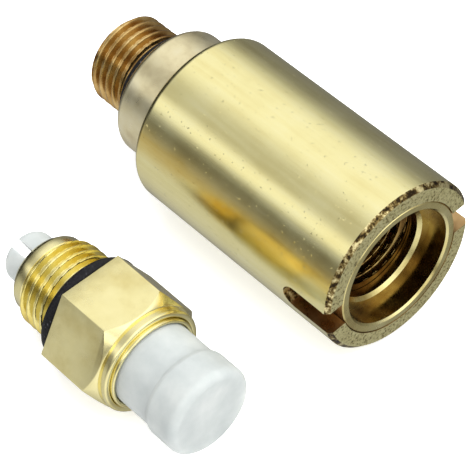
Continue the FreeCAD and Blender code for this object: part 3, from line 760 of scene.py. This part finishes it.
def make_fitting():
    """Hexagon with bevel and rim, and the threaded shank with its bore."""
    end = HEX_X + HEX_LENGTH
    core = 4.0
    overlap = 0.05
    corner = HEX_WIDTH / 2 / math.cos(math.radians(30))
    near = []
    far = []
    for index in range(6):
        angle = math.radians(60 * index)
        y = FITTING_Y + corner * math.cos(angle)
        z = FITTING_Z + corner * math.sin(angle)
        near.append((HEX_X, y, z))
        far.append((end, y, z))
    mesh = prism("fitting_hexagon", near, far)
    shade(mesh)
    hexagon = add_object("fitting_hexagon", mesh)
    bevel_start = end - 1.1
    corner_share = 0.577
    outside = HEX_WIDTH * corner_share + 0.02
    wide = HEX_WIDTH * corner_share + 0.5
    cone = [(HEX_X - 1, 0.0), (HEX_X - 1, wide), (HEX_X - 0.1, wide), (HEX_X + 0.25, outside)]
    cone += [(bevel_start, outside), (end, RIM_RADIUS + overlap), (end, 0.0)]
    boolean(hexagon, turned("bevel_tool", cone, FITTING_AXIS), "INTERSECT")
    drill = [(HEX_X - 2, 0.0), (HEX_X - 2, core), (end + 2, core), (end + 2, 0.0)]
    boolean(hexagon, turned("bore_tool", drill, FITTING_AXIS, 96), "DIFFERENCE")
    bevel(hexagon, 0.09, 2)
    shade(hexagon.data, 28)
    finish(hexagon, "line_fitting", "brass_bright", BRIGHT)
    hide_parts("fitting_body")
    lip = 0.32
    mouth_round = 0.15
    waist = RIM_RADIUS - 0.15
    socket_floor = RIM_FACE - SOCKET_DEPTH
    outline = [(end - overlap, core + overlap), (end - overlap, waist), (end + 0.1, waist)]
    outline += arc((RIM_FACE - lip, RIM_RADIUS - lip), lip, 90, 0, 8)
    outline += arc((RIM_FACE - mouth_round, SOCKET_RADIUS + mouth_round), mouth_round, 0, -90, 4)
    outline += [(socket_floor, SOCKET_RADIUS), (socket_floor, core + overlap)]
    rim = turned("fitting_rim", outline, FITTING_AXIS)
    finish(rim, "line_fitting", "brass_bright", BRIGHT)
    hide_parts("fitting_body")
    tip = fitting_low[0]
    undercut = HEX_X - FITTING_RELIEF
    clamp_seat = 4.1
    clamp_seat_end = tip + 2.0
    outline = [(tip, clamp_seat)] + threaded_wall(tip, undercut, 110)
    outline += [(undercut, FITTING_UNDERCUT), (HEX_X + overlap, FITTING_UNDERCUT), (HEX_X + overlap, core)]
    outline += [(end, core), (end, LINE_BORE), (clamp_seat_end, LINE_BORE), (clamp_seat_end, clamp_seat)]
    relief = male_thread(undercut, 0.3, 0.5, FITTING_UNDERCUT)
    shank = turned("fitting_thread", outline, FITTING_AXIS, THREAD_AROUND, relief, 40)
    finish(shank, "line_fitting", "brass_bright", GOLDEN)
    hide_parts("fitting_body")


def make_sleeve():
    """Guide sleeve whose rounded lip stands proud of the rim."""
    outer = SOCKET_RADIUS - SEAT_GAP
    inner = 4.72
    flange = 0.5
    lip_radius = (outer - inner) / 2
    start = sleeve_low[0]
    outline = [(start, LINE_BORE), (start, outer)]
    outline += arc((sleeve_high[0] - lip_radius, inner + lip_radius), lip_radius, 90, -90, 10)
    outline += [(start + flange, inner), (start + flange, LINE_BORE)]
    sleeve = turned("sleeve_lip", outline, FITTING_AXIS)
    finish(sleeve, "line_fitting", "brass_bright", BRIGHT)
    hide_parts("guide_sleeve")


def make_clamp():
    """Slit clamping ring with a tapered end."""
    low = clamp_low[0]
    high = clamp_high[0]
    bore = 3.1
    outer = 4.4
    nose = 3.8
    edge = 0.15
    outline = [(low, bore + edge), (low, nose), (low + edge, nose + edge)]
    outline += [(low + 0.5, outer - edge), (low + 0.75, outer - 0.02)]
    outline += [(high - 0.1, outer), (high, outer - 0.1), (high, bore), (low + edge, bore)]
    ring = turned("clamp_collet", outline, FITTING_AXIS, 144)
    reach = 6.0
    size = (8.0, CLAMP_SLIT, reach)
    slit = box_tool("slit_tool", ((low + high) / 2, *FITTING_AXIS), CLAMP_TURN, size, -reach / 2)
    boolean(ring, slit, "DIFFERENCE")
    shade(ring.data)
    finish(ring, "clamp", "brass_bright", BRIGHT)
    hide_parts("clamping_ring")


def make_plug():
    """Transport plug: head, stem and split core with round-ended prongs."""
    low = plug_low[0]
    end = plug_high[0]
    core = 2.85
    tip_round = 1.2
    outline = [(low, 0.0)] + arc((low + tip_round, core - tip_round), tip_round, 180, 90, 8)
    shoulder = RIM_FACE - SOCKET_DEPTH + 0.55
    outline += line((low + tip_round, core), (shoulder, core), 8)[1:]
    stem = 4.6
    stem_foot = 4.62
    edge = 0.12
    head = end - 3.8
    stem_end = head - 0.35
    outline += [(shoulder, core), (shoulder, stem_foot - edge), (shoulder + edge, stem_foot)]
    outline += line((shoulder + edge, stem_foot), (stem_end, stem), 8)[1:]
    head_radius = 4.9
    head_start = head + 0.4
    head_round = 0.9
    outline += [(stem_end, stem), (head - 0.1, stem + 0.08), (head + 0.12, head_radius - 0.06)]
    outline += line((head_start, head_radius), (end - head_round, head_radius), 5)
    outline += arc((end - head_round, head_radius - head_round), head_round, 90, 0, 10)
    outline += [(end, 2.0), (end, 0.0)]
    plug = turned("plug_body", outline, FITTING_AXIS, 160)
    beyond = 1.0
    size = (PRONG_SPLIT + beyond, 9.0, PRONG_GAP)
    split = box_tool("split_tool", (low + (PRONG_SPLIT - beyond) / 2, *FITTING_AXIS), PRONG_TURN, size)
    boolean(plug, split, "DIFFERENCE")
    bevel(plug, 0.45, 4)
    shade(plug.data)
    finish(plug, "plug", "plastic_white", PLASTIC)
    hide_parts("transport_plug")


def dress_inner_nodes():
    """Materials for the CAD nodes that keep their own shape."""
    finishes = {
        "relief_piston": TURNED, "spring_plate": TURNED, "check_poppet": TURNED, "check_clip": STEEL,
        "relief_spring": STEEL, "check_spring": STEEL, "piston_seal": RUBBER, "check_washer": RUBBER,
        "guide_ring": SLIDE, "tail_o_ring": RUBBER, "insert_o_ring": RUBBER, "line_seal": RUBBER,
    }
    for node, material in finishes.items():
        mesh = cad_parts[node].data
        mesh.materials.clear()
        mesh.materials.append(material)


# Studio

def make_floor():
    """A plain pale floor. Reflections show the surround in its place, which keeps the brass in contrast."""
    mesh = bpy.data.meshes.new("studio_floor")
    reach = 1.5
    corners = [(-reach, -reach), (reach, -reach), (reach, reach), (-reach, reach)]
    mesh.from_pydata([(x, y, FLOOR * MM) for x, y in corners], [], [(0, 1, 2, 3)])
    mesh.materials.append(studio_floor())
    floor = add_object("studio_floor", mesh)
    floor.visible_glossy = False


def make_world():
    """A surround of long soft strips along X, with dark gaps; brighter in front and dim behind."""
    world = bpy.data.worlds.new("studio")
    bpy.context.scene.world = world
    world.use_nodes = True
    nodes = Nodes(world.node_tree, "Generated")
    background = world.node_tree.nodes["Background"]
    brightest = max(value for degrees, value in SKY)
    stops = []
    for degrees, value in SKY:
        level = value / brightest
        stops.append((degrees / 360 + 0.5, (level, level, level * 0.98)))
    along, across, up = nodes.split()
    share = nodes.maths("DIVIDE", nodes.maths("ARCTAN2", up, across), 2 * math.pi)
    nodes.join(nodes.ramp(nodes.maths("ADD", share, 0.5), stops), background.inputs["Color"])
    front = nodes.spread(along, brightest, brightest * FRONT_GAIN, 0.1, 0.6)
    rear = nodes.spread(along, REAR_LEVEL, 1.0, -0.90, -0.74)
    nodes.join(nodes.maths("MULTIPLY", front, rear), background.inputs["Strength"])


def make_key_light():
    """One soft light from above that faces the part; lengths in metres."""
    place = Vector((0.06, 0.05, 0.40))
    target = Vector((0.016, -0.010, 0.0))
    data = bpy.data.lights.new("key_light", "AREA")
    data.shape = "RECTANGLE"
    data.size = 0.5
    data.size_y = 0.4
    data.energy = 2.5
    light = bpy.data.objects.new("key_light", data)
    light.location = place
    light.rotation_euler = (target - place).to_track_quat("-Z", "Y").to_euler()
    light.visible_glossy = False
    bpy.context.scene.collection.objects.link(light)


def make_camera():
    """The camera whose view matches the photograph: found by fitting the outlines in it."""
    focal_pixels = 2347
    image_pixels = 470
    sensor = 36.0
    turn = math.radians(52.0)
    rise = math.radians(48.8)
    roll = math.radians(5.1)
    place = Vector((138.3, -101.0, 171.8)) * MM
    back = Vector((math.sin(turn) * math.cos(rise), -math.cos(turn) * math.cos(rise), math.sin(rise)))
    level = Vector((math.cos(turn), math.sin(turn), 0.0))
    upright = back.cross(level)
    right = level * math.cos(roll) - upright * math.sin(roll)
    up = level * math.sin(roll) + upright * math.cos(roll)
    data = bpy.data.cameras.new("photo_camera")
    data.sensor_width = sensor
    data.lens = sensor * focal_pixels / image_pixels
    data.clip_start = 0.01
    camera = bpy.data.objects.new("photo_camera", data)
    axes = Matrix((right, up, back)).transposed().to_4x4()
    camera.matrix_world = Matrix.Translation(place) @ axes
    bpy.context.scene.collection.objects.link(camera)
    bpy.context.scene.camera = camera


make_barrel()
make_connector()
make_port()
make_ring("strut_ring", "strut_o_ring", "valve_housing", STRUT_CORD, UNDERCUT, STRUT_RING_AT, STRUT_BULGE)
make_fitting()
make_ring("fitting_ring", "fitting_o_ring", "line_fitting", FITTING_CORD, FITTING_UNDERCUT,
          HEX_X - FITTING_RELIEF / 2, FITTING_BULGE, FITTING_AXIS)
make_sleeve()
make_clamp()
make_plug()
dress_inner_nodes()
make_floor()
make_world()
make_key_light()
make_camera()
bpy.context.scene.view_settings.view_transform = "Standard"
